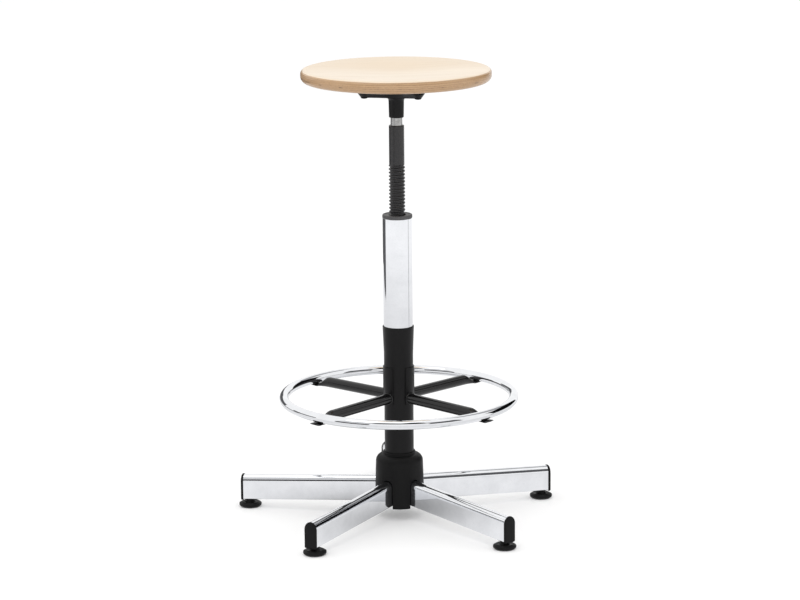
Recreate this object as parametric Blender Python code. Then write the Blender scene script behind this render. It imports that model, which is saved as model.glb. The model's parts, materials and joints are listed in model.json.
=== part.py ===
"""Adjustable swivel stool: plywood seat on a threaded spindle, two-tube column, foot ring and five-arm base.

The floor is z = 0 and the front of the stool faces -Y. Turning the seat screws its spindle up or down in the
column.
"""

from math import ceil, cos, pi, radians, sin

import bmesh
import bpy
from mathutils import Matrix, Vector

GAP = 0.0003                      # clearance between pieces that touch or fit into each other

# Base
ARM_COUNT = 5
GLIDE_CIRCLE = 0.2845             # from the column's axis to a glide's axis
GLIDE_RADIUS = 0.0210
GLIDE_HEIGHT = 0.0095
GLIDE_NECK_RADIUS = 0.0080
STEM_RADIUS = 0.0050
STEM_BOTTOM, STEM_TOP = 0.0035, 0.0420
ARM_HALF_WIDTH = 0.0105
ARM_BOTTOM, ARM_TOP = 0.0148, 0.0608   # at the arm's outer end
ARM_RISE = 0.052                  # slope of an arm towards the hub
ARM_WALL = 0.0020
ARM_START, ARM_END = 0.0312, 0.2950
ARM_CAP_THICKNESS = 0.0050
ARM_CAP_HALF_WIDTH = 0.0122
ARM_CAP_BOTTOM, ARM_CAP_TOP = 0.0134, 0.0616
PLUG_LENGTH = 0.0280
HUB_RADIUS = 0.0442
HUB_WALL = 0.0038
HUB_BOTTOM, HUB_TOP = 0.0223, 0.1225
SLOT_HEADROOM = 0.0012            # between an arm's top and its slot in the hub cover
CORE_RADIUS = 0.0305
CORE_HOLE = 0.0120
CORE_BOTTOM, CORE_TOP = 0.0250, 0.1040
CORE_FLOOR = 0.0040

# Column
LOWER_TUBE_RADIUS = 0.0265
TUBE_INNER_RADIUS = 0.0225
LOWER_TUBE_TOP = 0.3554
FLARE_START = 0.3050
FLARE_RADIUS = 0.0285
UPPER_TUBE_RADIUS = 0.0265
UPPER_TUBE_BOTTOM, UPPER_TUBE_TOP = 0.3380, 0.5536
CAP_RADIUS = 0.0270
CAP_TOP = 0.5600
CAP_SPIGOT = 0.0050

# Screw thread of the spindle and its nut
LEAD = 0.0064                     # rise in one turn of the seat, right-handed
THREAD_ROOT, THREAD_CREST = 0.0124, 0.0145
THREAD_FLAT = 0.0019              # width of the crest and of the root
THREAD_SIDES = 14
THREAD_TURNS = 31
THREAD_CLEARANCE = 0.00065        # between nut and spindle, across the axis
FLANK_CLEARANCE = 0.00035         # between nut and spindle, along the axis
NUT_BOTTOM, NUT_TOP = 0.5122, 0.5482

# Spindle
SPINDLE_RADIUS = 0.0137
THREAD_BOTTOM, THREAD_TOP = 0.4405, 0.6516
THREAD_RUN_OUT = 0.0033
THREAD_START = THREAD_TOP - THREAD_RUN_OUT - (THREAD_TURNS + 1) * LEAD
SHANK_TOP = 0.7213
TAPER_RADIUS, TAPER_TIP_RADIUS = 0.01065, 0.0094
SPINDLE_TOP = 0.7900
PIN_RADIUS, PIN_BOTTOM = 0.0100, 0.4175
END_SCREW_RADIUS = 0.0030
END_HOLE_TOP = 0.4320
END_WASHER_RADIUS, END_WASHER_THICKNESS = 0.0150, 0.0025

# Foot ring
RING_HEIGHT = 0.2243
RING_RADIUS = 0.2078
RING_TUBE = 0.0090
RING_WALL = 0.0015
RING_TURN = radians(42.7)         # direction of the first spoke
SPOKE_RADIUS = 0.0095
SPOKE_WALL = 0.0015
SPOKE_TIP_WIDTH, SPOKE_TIP_HEIGHT = 0.0125, 0.0016     # half sizes of the flattened end
RING_SCREW_RADIUS = 0.0030
RING_SCREW_HEAD, RING_SCREW_HEAD_HEIGHT = 0.0055, 0.0022
RING_SCREW_LENGTH = 0.0085
SHELL_THICKNESS = 0.0016
SHELL_BOTTOM, SHELL_TOP = 0.2125, 0.2810
SHELL_HALF_ANGLE = radians(65)

# Seat
SEAT_RADIUS = 0.1700
SEAT_BOTTOM, SEAT_TOP = 0.8000, 0.8220
SEAT_DISH, SEAT_RIM = 0.0065, 0.1560
SPIDER_BOTTOM = 0.7775            # at the arms' ends
SPIDER_CENTRE_BOTTOM, SPIDER_CENTRE_RADIUS = 0.7715, 0.0185
SPIDER_HALF_WIDTH = 0.0125
SPIDER_WEB = 0.0260
SPIDER_BEVEL, SPIDER_BEVEL_HEIGHT = 0.0060, 0.0080
SPIDER_TURN = radians(29.8)
SEAT_SCREW_CIRCLE = 0.0682
SEAT_SCREW_RADIUS = 0.0030
SEAT_SCREW_TOP = 0.8120
SEAT_SCREW_HEAD, SEAT_SCREW_HEAD_HEIGHT = 0.0062, 0.0024
SOCKET_BOTTOM, SOCKET_TOP = 0.7350, 0.7985
SOCKET_RADIUS, SOCKET_FOOT_RADIUS = 0.0139, 0.0132
SOCKET_FLANGE = 0.0170
SOCKET_NECK = 0.0126

# The base's footprint is centred on the origin, and its odd arm points along +Y.
AXIS_Y = -(GLIDE_CIRCLE - GLIDE_CIRCLE * cos(pi / ARM_COUNT)) / 2


def material(name, colour, roughness, metallic):
    made = bpy.data.materials.new(name)
    made.use_nodes = True
    shader = made.node_tree.nodes["Principled BSDF"]
    shader.inputs["Base Color"].default_value = (*colour, 1)
    shader.inputs["Roughness"].default_value = roughness
    shader.inputs["Metallic"].default_value = metallic
    return made


def add_object(name, mesh, finish, parent, turn=0.0, height=0.0):
    """Places a mesh under its parent, turned about the parent's axis."""
    mesh.shade_smooth()
    mesh.set_sharp_from_angle(angle=radians(35))
    made = bpy.data.objects.new(name, mesh)
    made.data.materials.append(finish)
    made.parent = parent
    made.rotation_euler.z = turn
    made.location.z = height
    bpy.context.scene.collection.objects.link(made)
    return made


def add_empty(name, location, parent=None):
    made = bpy.data.objects.new(name, None)
    made.location = location
    made.parent = parent
    bpy.context.scene.collection.objects.link(made)
    return made


def to_mesh(name, shape):
    bmesh.ops.recalc_face_normals(shape, faces=shape.faces)
    mesh = bpy.data.meshes.new(name)
    shape.to_mesh(mesh)
    shape.free()
    return mesh


def cut(target, cutter):
    """Cuts a hidden guide's shape out of the target."""
    cutter.hide_render = True
    cutter.display_type = "WIRE"
    modifier = target.modifiers.new("Cut", "BOOLEAN")
    modifier.operation = "DIFFERENCE"
    modifier.solver = "EXACT"
    modifier.object = cutter


def bridge(shape, first, second):
    """Joins two rings of equal length, or a ring and a single point."""
    count = max(len(first), len(second))
    for i in range(count):
        j = (i + 1) % count
        corners = [first[i % len(first)], first[j % len(first)],
                   second[j % len(second)], second[i % len(second)]]
        shape.faces.new(list(dict.fromkeys(corners)))


def turned(shape, profile, sides, closed=False):
    """Turns (radius, height) points about Z. A closed profile makes a ring with a hole; an open one starts
    and ends on the axis or with a flat face."""
    rings = []
    for radius, height in profile:
        count = sides if radius > 0 else 1
        angles = [2 * pi * i / sides for i in range(count)]
        rings.append([shape.verts.new((radius * cos(a), radius * sin(a), height)) for a in angles])
    for first, second in zip(rings, rings[1:]):
        bridge(shape, first, second)
    if closed:
        bridge(shape, rings[-1], rings[0])
    else:
        for ring in (rings[0], rings[-1]):
            if len(ring) > 1:
                shape.faces.new(ring)


def turned_mesh(name, profile, sides, closed=False):
    shape = bmesh.new()
    turned(shape, profile, sides, closed)
    return to_mesh(name, shape)


def lofted(shape, sections, closed=False):
    """Joins rings of points into a skin with flat ends, or into a closed loop."""
    rings = [[shape.verts.new(point) for point in section] for section in sections]
    for first, second in zip(rings, rings[1:]):
        bridge(shape, first, second)
    if closed:
        bridge(shape, rings[-1], rings[0])
    else:
        shape.faces.new(rings[0])
        shape.faces.new(rings[-1])


def arc(centre, radius, start, end, steps):
    """Points along an arc, angles in degrees."""
    angles = [radians(start + (end - start) * i / steps) for i in range(steps + 1)]
    return [(centre[0] + radius * cos(a), centre[1] + radius * sin(a)) for a in angles]


def cylinder(shape, radius, bottom, top, sides, centre=(0.0, 0.0)):
    matrix = Matrix.Translation((centre[0], centre[1], (bottom + top) / 2))
    bmesh.ops.create_cone(shape, cap_ends=True, segments=sides, radius1=radius, radius2=radius,
                          depth=top - bottom, matrix=matrix)


def arm_outline(half_width, bottom, top, steps=8):
    """Section of an arm across its length: flat sides and base with a half-round top."""
    crown = arc((0, top - half_width), half_width, 0, 180, steps)
    return [(-half_width, bottom), (half_width, bottom)] + crown


def along_x(outline, x):
    return [(x, y, z) for y, z in outline]


def along_arm(outline, x):
    """Section of an arm at x, raised by the arm's slope."""
    return [(x, y, z + ARM_RISE * (ARM_END - x)) for y, z in outline]


# ---------------------------------------------------------------- base


def arm_mesh():
    outer = arm_outline(ARM_HALF_WIDTH, ARM_BOTTOM, ARM_TOP)
    inner = arm_outline(ARM_HALF_WIDTH - ARM_WALL, ARM_BOTTOM + ARM_WALL, ARM_TOP - ARM_WALL)
    shape = bmesh.new()
    lofted(shape, [along_arm(outer, ARM_START), along_arm(outer, ARM_END),
                   along_arm(inner, ARM_END), along_arm(inner, ARM_START)], closed=True)
    return to_mesh("arm", shape)


def arm_cap_mesh():
    """Plastic end cap whose plug fills the arm's end."""
    face = ARM_END + GAP
    plate = arm_outline(ARM_CAP_HALF_WIDTH, ARM_CAP_BOTTOM, ARM_CAP_TOP)
    edge = arm_outline(ARM_CAP_HALF_WIDTH - 0.0015, ARM_CAP_BOTTOM + 0.0010, ARM_CAP_TOP - 0.0015)
    inset = ARM_WALL + GAP
    plug = arm_outline(ARM_HALF_WIDTH - inset, ARM_BOTTOM + inset, ARM_TOP - inset)
    shape = bmesh.new()
    lofted(shape, [along_arm(plug, face - PLUG_LENGTH), along_x(plug, face), along_x(plate, face),
                   along_x(plate, face + ARM_CAP_THICKNESS * 0.6), along_x(edge, face + ARM_CAP_THICKNESS)])
    return to_mesh("arm_cap", shape)


def stem_hole_mesh():
    shape = bmesh.new()
    cylinder(shape, STEM_RADIUS + 2 * GAP, -0.01, STEM_TOP + 0.001, 12, (GLIDE_CIRCLE, 0))
    return to_mesh("stem_hole", shape)


def glide_mesh():
    bore = STEM_RADIUS + GAP
    profile = [(0, 0), (GLIDE_RADIUS - 0.0028, 0), (GLIDE_RADIUS, 0.0030), (GLIDE_RADIUS, 0.0060),
               (GLIDE_RADIUS - 0.0038, GLIDE_HEIGHT), (GLIDE_NECK_RADIUS, GLIDE_HEIGHT),
               (GLIDE_NECK_RADIUS, ARM_BOTTOM - GAP), (bore, ARM_BOTTOM - GAP), (bore, STEM_BOTTOM - GAP),
               (0, STEM_BOTTOM - GAP)]
    return turned_mesh("glide", profile, 16)


def glide_stem_mesh():
    profile = [(0, STEM_BOTTOM), (STEM_RADIUS, STEM_BOTTOM), (STEM_RADIUS, STEM_TOP - 0.0015),
               (STEM_RADIUS - 0.0012, STEM_TOP), (0, STEM_TOP)]
    return turned_mesh("glide_stem", profile, 10)


def hub_cover_mesh():
    """Moulded dome with a lip round the column, hollow and open below."""
    lip = LOWER_TUBE_RADIUS + 2 * GAP
    shoulder_radius, shoulder_height = 0.0280, 0.1000
    outer = [(lip, HUB_TOP), (0.0286, HUB_TOP), (0.0290, 0.1213), (0.0285, 0.1187), (0.0310, 0.1168)]
    outer += [(shoulder_radius + 0.0142 * sin(a), shoulder_height + 0.0162 * cos(a))
              for a in (0.45, 0.90, 1.40)]
    outer += [(HUB_RADIUS - 0.0002, 0.0620), (HUB_RADIUS, HUB_BOTTOM)]
    inside = HUB_RADIUS - HUB_WALL
    inner = [(inside, HUB_BOTTOM), (inside - 0.0002, 0.0620), (0.0375, shoulder_height), (0.0320, 0.1085),
             (lip, 0.1120)]
    return turned_mesh("hub_cover", outer + inner, 30, closed=True)


def hub_slots_mesh():
    """Slots that the arms pass through, open below."""
    shape = bmesh.new()
    outline = arm_outline(ARM_HALF_WIDTH + 2 * GAP, -0.01, ARM_TOP + SLOT_HEADROOM)
    for i in range(ARM_COUNT):
        turn = Matrix.Rotation(2 * pi * i / ARM_COUNT, 3, "Z")
        lofted(shape, [[turn @ Vector(point) for point in along_arm(outline, x)] for x in (0.0350, 0.0600)])
    return to_mesh("hub_slots", shape)


def hub_core_mesh():
    """Steel tube that the arms are welded to; the column stands on its bottom flange."""
    bore = LOWER_TUBE_RADIUS + GAP
    profile = [(CORE_HOLE, CORE_BOTTOM), (CORE_RADIUS, CORE_BOTTOM), (CORE_RADIUS, CORE_TOP),
               (bore, CORE_TOP), (bore, CORE_BOTTOM + CORE_FLOOR), (CORE_HOLE, CORE_BOTTOM + CORE_FLOOR)]
    return turned_mesh("hub_core", profile, 24, closed=True)


def wire_clip_mesh():
    """Thin wire loop that stands on the hub's shoulder beside the column."""
    path = [(-0.0150, 0.0235, 0.1340), (-0.0215, 0.0195, 0.1352), (-0.0272, 0.0120, 0.1343),
            (-0.0305, 0.0040, 0.1305), (-0.0316, -0.0020, 0.1250), (-0.0318, -0.0040, 0.1205)]
    radius, sides = 0.0006, 6
    shape = bmesh.new()
    sections = []
    for i, point in enumerate(path):
        ahead = Vector(path[min(i + 1, len(path) - 1)]) - Vector(path[max(i - 1, 0)])
        frame = ahead.to_track_quat("Z", "Y").to_matrix()
        ring = [frame @ Vector((radius * cos(2 * pi * k / sides), radius * sin(2 * pi * k / sides), 0))
                for k in range(sides)]
        sections.append([Vector(point) + offset for offset in ring])
    lofted(shape, sections)
    return to_mesh("hub_wire_clip", shape)


def build_base(axis, finishes):
    arm, cap = arm_mesh(), arm_cap_mesh()
    glide, stem = glide_mesh(), glide_stem_mesh()
    hole = stem_hole_mesh()
    for i in range(ARM_COUNT):
        turn = pi / 2 + 2 * pi * i / ARM_COUNT
        direction = Vector((cos(turn), sin(turn), 0)) * GLIDE_CIRCLE
        guide = add_object(f"guide_stem_hole_{i + 1}", hole, finishes["guide"], axis, turn)
        cut(add_object(f"arm_{i + 1}", arm, finishes["chrome"], axis, turn), guide)
        cut(add_object(f"arm_cap_{i + 1}", cap, finishes["black_plastic"], axis, turn), guide)
        foot = add_object(f"glide_{i + 1}", glide, finishes["black_plastic"], axis, turn)
        pin = add_object(f"glide_stem_{i + 1}", stem, finishes["steel"], axis, turn)
        foot.location = pin.location = direction

    cover = add_object("hub_cover", hub_cover_mesh(), finishes["black_plastic"], axis, pi / 2)
    slots = add_object("guide_hub_slots", hub_slots_mesh(), finishes["guide"], axis, pi / 2)
    cut(cover, slots)
    add_object("hub_core", hub_core_mesh(), finishes["black_paint"], axis)
    add_object("hub_wire_clip", wire_clip_mesh(), finishes["steel"], axis)


# ---------------------------------------------------------------- column


def lower_tube_mesh():
    bottom = CORE_BOTTOM + CORE_FLOOR + GAP
    socket = UPPER_TUBE_RADIUS + GAP
    seat = UPPER_TUBE_BOTTOM - GAP
    profile = [(LOWER_TUBE_RADIUS, bottom), (LOWER_TUBE_RADIUS, FLARE_START),
               (FLARE_RADIUS, LOWER_TUBE_TOP - 0.0012), (FLARE_RADIUS - 0.0008, LOWER_TUBE_TOP),
               (socket, LOWER_TUBE_TOP), (socket, seat),
               (TUBE_INNER_RADIUS, seat), (TUBE_INNER_RADIUS, bottom)]
    return turned_mesh("lower_tube", profile, 24, closed=True)


def upper_tube_mesh():
    profile = [(UPPER_TUBE_RADIUS, UPPER_TUBE_BOTTOM), (UPPER_TUBE_RADIUS, UPPER_TUBE_TOP),
               (TUBE_INNER_RADIUS, UPPER_TUBE_TOP), (TUBE_INNER_RADIUS, UPPER_TUBE_BOTTOM)]
    return turned_mesh("upper_tube", profile, 24, closed=True)


def column_cap_mesh():
    """Cap on the tube's end, with a spigot inside it and a hole that clears the thread."""
    hole = THREAD_CREST + 0.0008
    spigot = TUBE_INNER_RADIUS - 2 * GAP
    under = UPPER_TUBE_TOP + GAP
    profile = [(hole, under - CAP_SPIGOT), (spigot, under - CAP_SPIGOT), (spigot, under), (CAP_RADIUS, under),
               (CAP_RADIUS, CAP_TOP - 0.0015), (CAP_RADIUS - 0.0012, CAP_TOP), (hole + 0.0010, CAP_TOP),
               (hole, CAP_TOP - 0.0010)]
    return turned_mesh("column_cap", profile, 24, closed=True)


def thread_section(base, tip, tip_width):
    """One pitch of a trapezoid thread as (rise, radius) points, centred on its ridge."""
    flank = (LEAD - 2 * THREAD_FLAT) / 2
    middle = LEAD / 2
    half = tip_width / 2
    return [(middle - half - flank, base), (middle - half, tip), (middle + half, tip),
            (middle + half + flank, base)]


def helical_wall(shape, section, start, turns):
    """Adds a helical thread of constant section. Returns the two functions that join its lower and its upper
    end to a plain ring."""
    size = len(section)

    def column(i, total):
        angle = 2 * pi * i / THREAD_SIDES
        points = [section[j % size] + (j // size,) for j in range(total * size + 1)]
        return [shape.verts.new((radius * cos(angle), radius * sin(angle),
                                 start + LEAD * (i / THREAD_SIDES + turn) + rise))
                for rise, radius, turn in points]

    columns = [column(i, turns + (i == 0)) for i in range(THREAD_SIDES)]
    count = turns * size + 1
    for i in range(THREAD_SIDES):
        right = columns[i + 1] if i + 1 < THREAD_SIDES else columns[0][size:]
        for j in range(count - 1):
            shape.faces.new([columns[i][j], right[j], right[j + 1], columns[i][j + 1]])

    def close_below(ring):
        first = columns[0]
        shape.faces.new(first[:size + 1])
        for i in range(THREAD_SIDES - 1):
            shape.faces.new([ring[i], ring[i + 1], columns[i + 1][0], columns[i][0]])
        shape.faces.new([ring[-1], ring[0], first[0], first[size], columns[-1][0]])

    def close_above(ring):
        first = columns[0]
        shape.faces.new(first[count - 1:])
        shape.faces.new([first[count - 1], columns[1][-1], ring[1], ring[0], first[-1]])
        for i in range(1, THREAD_SIDES - 1):
            shape.faces.new([columns[i][-1], columns[i + 1][-1], ring[i + 1], ring[i]])
        shape.faces.new([columns[-1][-1], first[-1], ring[0], ring[-1]])

    return close_below, close_above


def plain_rings(shape, profile):
    """Rings of the thread's own side count, joined to each other in turn. A zero radius is a single point."""
    rings = []
    for radius, height in profile:
        count = THREAD_SIDES if radius > 0 else 1
        angles = [2 * pi * i / THREAD_SIDES for i in range(count)]
        rings.append([shape.verts.new((radius * cos(a), radius * sin(a), height)) for a in angles])
    for first, second in zip(rings, rings[1:]):
        bridge(shape, first, second)
    return rings


def thread_nut_mesh():
    """Nut fixed in the tube's top; its ridges lie midway between the spindle's, with clearance all round."""
    bore = THREAD_CREST + THREAD_CLEARANCE
    section = thread_section(bore, THREAD_ROOT + THREAD_CLEARANCE, THREAD_FLAT - 2 * FLANK_CLEARANCE)
    phase = THREAD_START + LEAD / 2
    start = phase + ceil((NUT_BOTTOM - phase) / LEAD) * LEAD
    turns = int((NUT_TOP - start) / LEAD) - 2
    shape = bmesh.new()
    close_below, close_above = helical_wall(shape, section, start, turns)
    outer = TUBE_INNER_RADIUS - GAP
    rings = plain_rings(shape, [(bore, NUT_TOP), (outer, NUT_TOP), (outer, NUT_BOTTOM), (bore, NUT_BOTTOM)])
    close_below(rings[-1])
    close_above(rings[0])
    return to_mesh("thread_nut", shape)


def build_column(axis, finishes):
    add_object("lower_tube", lower_tube_mesh(), finishes["black_paint"], axis)
    add_object("upper_tube", upper_tube_mesh(), finishes["chrome"], axis)
    add_object("column_cap", column_cap_mesh(), finishes["black_plastic"], axis)
    add_object("thread_nut", thread_nut_mesh(), finishes["steel"], axis)


# ---------------------------------------------------------------- foot ring


def foot_ring_mesh():
    """Tube bent into a ring: an outer skin and an inner one facing the hollow."""
    shape = bmesh.new()
    sides, steps = 8, 48
    for radius in (RING_TUBE, RING_TUBE - RING_WALL):
        angles = [2 * pi * i / sides for i in range(sides)]
        section = [(RING_RADIUS + radius * cos(a), RING_HEIGHT + radius * sin(a)) for a in angles]
        turned(shape, section, steps, closed=True)
    bmesh.ops.recalc_face_normals(shape, faces=shape.faces)
    inner = [face for face in shape.faces
             if all((Vector((vert.co.xy.length - RING_RADIUS, vert.co.z - RING_HEIGHT))).length
                    < RING_TUBE - RING_WALL / 2 for vert in face.verts)]
    bmesh.ops.recalc_face_normals(shape, faces=inner)
    bmesh.ops.reverse_faces(shape, faces=inner)
    mesh = bpy.data.meshes.new("foot_ring")
    shape.to_mesh(mesh)
    shape.free()
    return mesh


def ring_holes_mesh():
    """Holes for the four screws: through the spokes' flat ends and the ring's lower wall."""
    shape = bmesh.new()
    for i in range(4):
        angle = RING_TURN + i * pi / 2
        centre = (RING_RADIUS * cos(angle), RING_RADIUS * sin(angle))
        bottom, top = RING_HEIGHT - RING_TUBE - 0.0120, RING_HEIGHT - 0.0010
        cylinder(shape, RING_SCREW_RADIUS + GAP, bottom, top, 10, centre)
    return to_mesh("ring_holes", shape)


def spoke_mesh():
    """Tube from the column to the ring along +X, open at the column, with a flattened tip under the ring."""
    tip_height = RING_HEIGHT - RING_TUBE - GAP - SPOKE_TIP_HEIGHT
    root_height = RING_HEIGHT + 0.0002
    start = LOWER_TUBE_RADIUS + SHELL_THICKNESS + 3 * GAP
    stations = [(start, 0.0, 1.0), (0.1750, 0.21, 1.0), (0.1880, 0.55, 0.56), (0.1985, 1.0, 0.0),
                (0.2175, 1.0, 0.0)]

    def section(x, drop, roundness, inset):
        width = SPOKE_TIP_WIDTH + (SPOKE_RADIUS - SPOKE_TIP_WIDTH) * roundness - inset
        height = SPOKE_TIP_HEIGHT + (SPOKE_RADIUS - SPOKE_TIP_HEIGHT) * roundness - inset
        middle = root_height + (tip_height - root_height) * drop
        return [(x, width * cos(2 * pi * i / 12), middle + height * sin(2 * pi * i / 12)) for i in range(12)]

    outside = [section(x, drop, roundness, 0) for x, drop, roundness in stations]
    inside = [section(x, drop, roundness, SPOKE_WALL) for x, drop, roundness in stations[:3]]
    shape = bmesh.new()
    lofted(shape, outside[::-1] + inside)
    return to_mesh("spoke", shape)


def shell_mesh():
    """Half sleeve round the column that two spokes are welded to, on the +X side."""
    inner = LOWER_TUBE_RADIUS + GAP
    outer = inner + SHELL_THICKNESS
    steps = 8
    shape = bmesh.new()
    sections = []
    for i in range(steps + 1):
        angle = SHELL_HALF_ANGLE * (2 * i / steps - 1)
        corners = [(inner, SHELL_BOTTOM), (outer, SHELL_BOTTOM), (outer, SHELL_TOP), (inner, SHELL_TOP)]
        sections.append([(radius * cos(angle), radius * sin(angle), z) for radius, z in corners])
    lofted(shape, sections)
    return to_mesh("ring_shell", shape)


def screw_mesh(name, radius, head_radius, head_height, length):
    """Pan-head screw pointing up, with the underside of its head at z = 0."""
    profile = [(0, -head_height), (head_radius * 0.6, -head_height), (head_radius, -head_height * 0.45),
               (head_radius, 0), (radius, 0), (radius, length), (0, length)]
    return turned_mesh(name, profile, 10)


def build_foot_ring(axis, finishes):
    ring = add_object("foot_ring", foot_ring_mesh(), finishes["chrome"], axis)
    holes = add_object("guide_ring_holes", ring_holes_mesh(), finishes["guide"], axis)
    cut(ring, holes)
    spoke, shell = spoke_mesh(), shell_mesh()
    under_tip = RING_HEIGHT - RING_TUBE - 2 * GAP - 2 * SPOKE_TIP_HEIGHT
    screw = screw_mesh("ring_screw", RING_SCREW_RADIUS, RING_SCREW_HEAD, RING_SCREW_HEAD_HEIGHT,
                       RING_SCREW_LENGTH)
    for i, side in enumerate(("back_right", "back_left", "front_left", "front_right")):
        turn = RING_TURN + i * pi / 2
        cut(add_object(f"spoke_{side}", spoke, finishes["black_paint"], axis, turn), holes)
        fixing = add_object(f"ring_screw_{side}", screw, finishes["black_paint"], axis)
        fixing.location = (RING_RADIUS * cos(turn), RING_RADIUS * sin(turn), under_tip)
    add_object("ring_shell_right", shell, finishes["black_paint"], axis, RING_TURN - pi / 4)
    add_object("ring_shell_left", shell, finishes["black_paint"], axis, RING_TURN + pi * 3 / 4)


# ---------------------------------------------------------------- what turns with the seat


def spindle_mesh():
    section = thread_section(THREAD_ROOT, THREAD_CREST, THREAD_FLAT)
    shape = bmesh.new()
    close_below, close_above = helical_wall(shape, section, THREAD_START, THREAD_TURNS)
    hole = END_SCREW_RADIUS + GAP
    below = plain_rings(shape, [(0, END_HOLE_TOP), (hole, END_HOLE_TOP), (hole, PIN_BOTTOM),
                                (PIN_RADIUS, PIN_BOTTOM), (PIN_RADIUS, THREAD_BOTTOM),
                                (THREAD_ROOT, THREAD_BOTTOM)])
    above = plain_rings(shape, [(THREAD_ROOT, THREAD_TOP), (SPINDLE_RADIUS, THREAD_TOP + 0.0012),
                                (SPINDLE_RADIUS, SHANK_TOP - 0.0018), (SPINDLE_RADIUS - 0.0009, SHANK_TOP),
                                (TAPER_RADIUS, SHANK_TOP), (TAPER_TIP_RADIUS, SPINDLE_TOP), (0, SPINDLE_TOP)])
    close_below(below[-1])
    close_above(above[0])
    return to_mesh("spindle", shape)


def guide_bush_mesh():
    inner, outer = PIN_RADIUS + GAP, TUBE_INNER_RADIUS - 2 * GAP - 0.0002
    bottom, top = PIN_BOTTOM + 0.0005, THREAD_BOTTOM - GAP
    profile = [(inner, bottom), (outer - 0.0010, bottom), (outer, bottom + 0.0015), (outer, top - 0.0015),
               (outer - 0.0010, top), (inner, top)]
    return turned_mesh("guide_bush", profile, 20, closed=True)


def end_washer_mesh():
    top = PIN_BOTTOM - GAP
    hole = END_SCREW_RADIUS + GAP
    bottom = top - END_WASHER_THICKNESS
    profile = [(hole, bottom), (END_WASHER_RADIUS, bottom), (END_WASHER_RADIUS, top), (hole, top)]
    return turned_mesh("end_washer", profile, 16, closed=True)


def taper_socket_mesh():
    """Bushing welded into the spider, with a tapered bore for the spindle's end."""
    lean = (TAPER_RADIUS - TAPER_TIP_RADIUS) / (SPINDLE_TOP - SHANK_TOP)
    bore_bottom = TAPER_RADIUS - lean * (SOCKET_BOTTOM - SHANK_TOP) + GAP
    bore_top = TAPER_RADIUS - lean * (SOCKET_TOP - SHANK_TOP) + GAP
    under = SPIDER_CENTRE_BOTTOM - GAP
    profile = [(bore_bottom + 0.0006, SOCKET_BOTTOM), (SOCKET_FOOT_RADIUS - 0.0010, SOCKET_BOTTOM),
               (SOCKET_FOOT_RADIUS, SOCKET_BOTTOM + 0.0016), (SOCKET_RADIUS, under - 0.0050),
               (SOCKET_RADIUS + 0.0012, under - 0.0018), (SOCKET_FLANGE, under), (SOCKET_NECK, under),
               (SOCKET_NECK, SOCKET_TOP), (bore_top, SOCKET_TOP)]
    return turned_mesh("taper_socket", profile, 20, closed=True)


def spider_outline(inset):
    """Plan of the four-armed spider: rounded arm ends and curved webs between the arms."""
    half = SPIDER_HALF_WIDTH - inset
    web = SPIDER_WEB + inset
    corner = SPIDER_HALF_WIDTH + SPIDER_WEB
    quarter = arc((SEAT_SCREW_CIRCLE, 0), half, -90, 90, 6) + arc((corner, corner), web, -90, -180, 4)
    points = []
    for i in range(4):
        turn = Matrix.Rotation(i * pi / 2, 2)
        points += [turn @ Vector(point) for point in quarter]
    return points


def spider_sag(x, y):
    """How far the underside hangs below the arms' ends at a point of the plan."""
    reach = SEAT_SCREW_CIRCLE + SPIDER_HALF_WIDTH - SPIDER_BEVEL
    share = (reach - Vector((x, y)).length) / (reach - SPIDER_CENTRE_RADIUS)
    return share * (SPIDER_BOTTOM - SPIDER_CENTRE_BOTTOM)


def seat_spider_mesh():
    """Plate whose arms get deeper towards a flat round centre."""
    rim = spider_outline(0)
    edge = spider_outline(SPIDER_BEVEL)
    centre = [Vector(point).normalized() * SPIDER_CENTRE_RADIUS for point in edge]
    shape = bmesh.new()
    lofted(shape, [[(x, y, SEAT_BOTTOM - GAP) for x, y in rim],
                   [(x, y, SPIDER_BOTTOM + SPIDER_BEVEL_HEIGHT) for x, y in rim],
                   [(x, y, SPIDER_BOTTOM - spider_sag(x, y)) for x, y in edge],
                   [(x, y, SPIDER_CENTRE_BOTTOM) for x, y in centre]])
    return to_mesh("seat_spider", shape)


def seat_holes_mesh(in_spider):
    """Holes for the seat screws and, in the spider, flat seats for their heads and the socket's hole."""
    shape = bmesh.new()
    below = SPIDER_CENTRE_BOTTOM - 0.01
    for i in range(4):
        angle = i * pi / 2
        x, y = SEAT_SCREW_CIRCLE * cos(angle), SEAT_SCREW_CIRCLE * sin(angle)
        hole, seat = SEAT_SCREW_RADIUS + GAP, SEAT_SCREW_HEAD + 2 * GAP
        if in_spider:
            profile = [(0, below), (seat, below), (seat, SPIDER_BOTTOM), (hole, SPIDER_BOTTOM),
                       (hole, SEAT_SCREW_TOP), (0, SEAT_SCREW_TOP)]
            start = len(shape.verts)
            turned(shape, profile, 12)
            bmesh.ops.translate(shape, verts=list(shape.verts)[start:], vec=(x, y, 0))
        else:
            cylinder(shape, hole, below, SEAT_SCREW_TOP + 2 * GAP, 12, (x, y))
    if in_spider:
        cylinder(shape, SOCKET_NECK + 2 * GAP, below, SEAT_BOTTOM + 0.01, 24)
    return to_mesh("seat_holes", shape)


def seat_board_mesh():
    """Round plywood board with rounded edges and a shallow dish in its top."""
    dish = [(SEAT_RIM * i / 5, SEAT_TOP - SEAT_DISH * (0.5 + 0.5 * cos(pi * i / 5))) for i in range(6)]
    top_round, bottom_round = 0.0070, 0.0110
    edge = arc((SEAT_RADIUS - top_round, SEAT_TOP - top_round), top_round, 90, 0, 3)
    edge += arc((SEAT_RADIUS - bottom_round, SEAT_BOTTOM + bottom_round), bottom_round, 0, -90, 3)
    return turned_mesh("seat_board", dish + edge + [(0, SEAT_BOTTOM)], 48)


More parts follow.
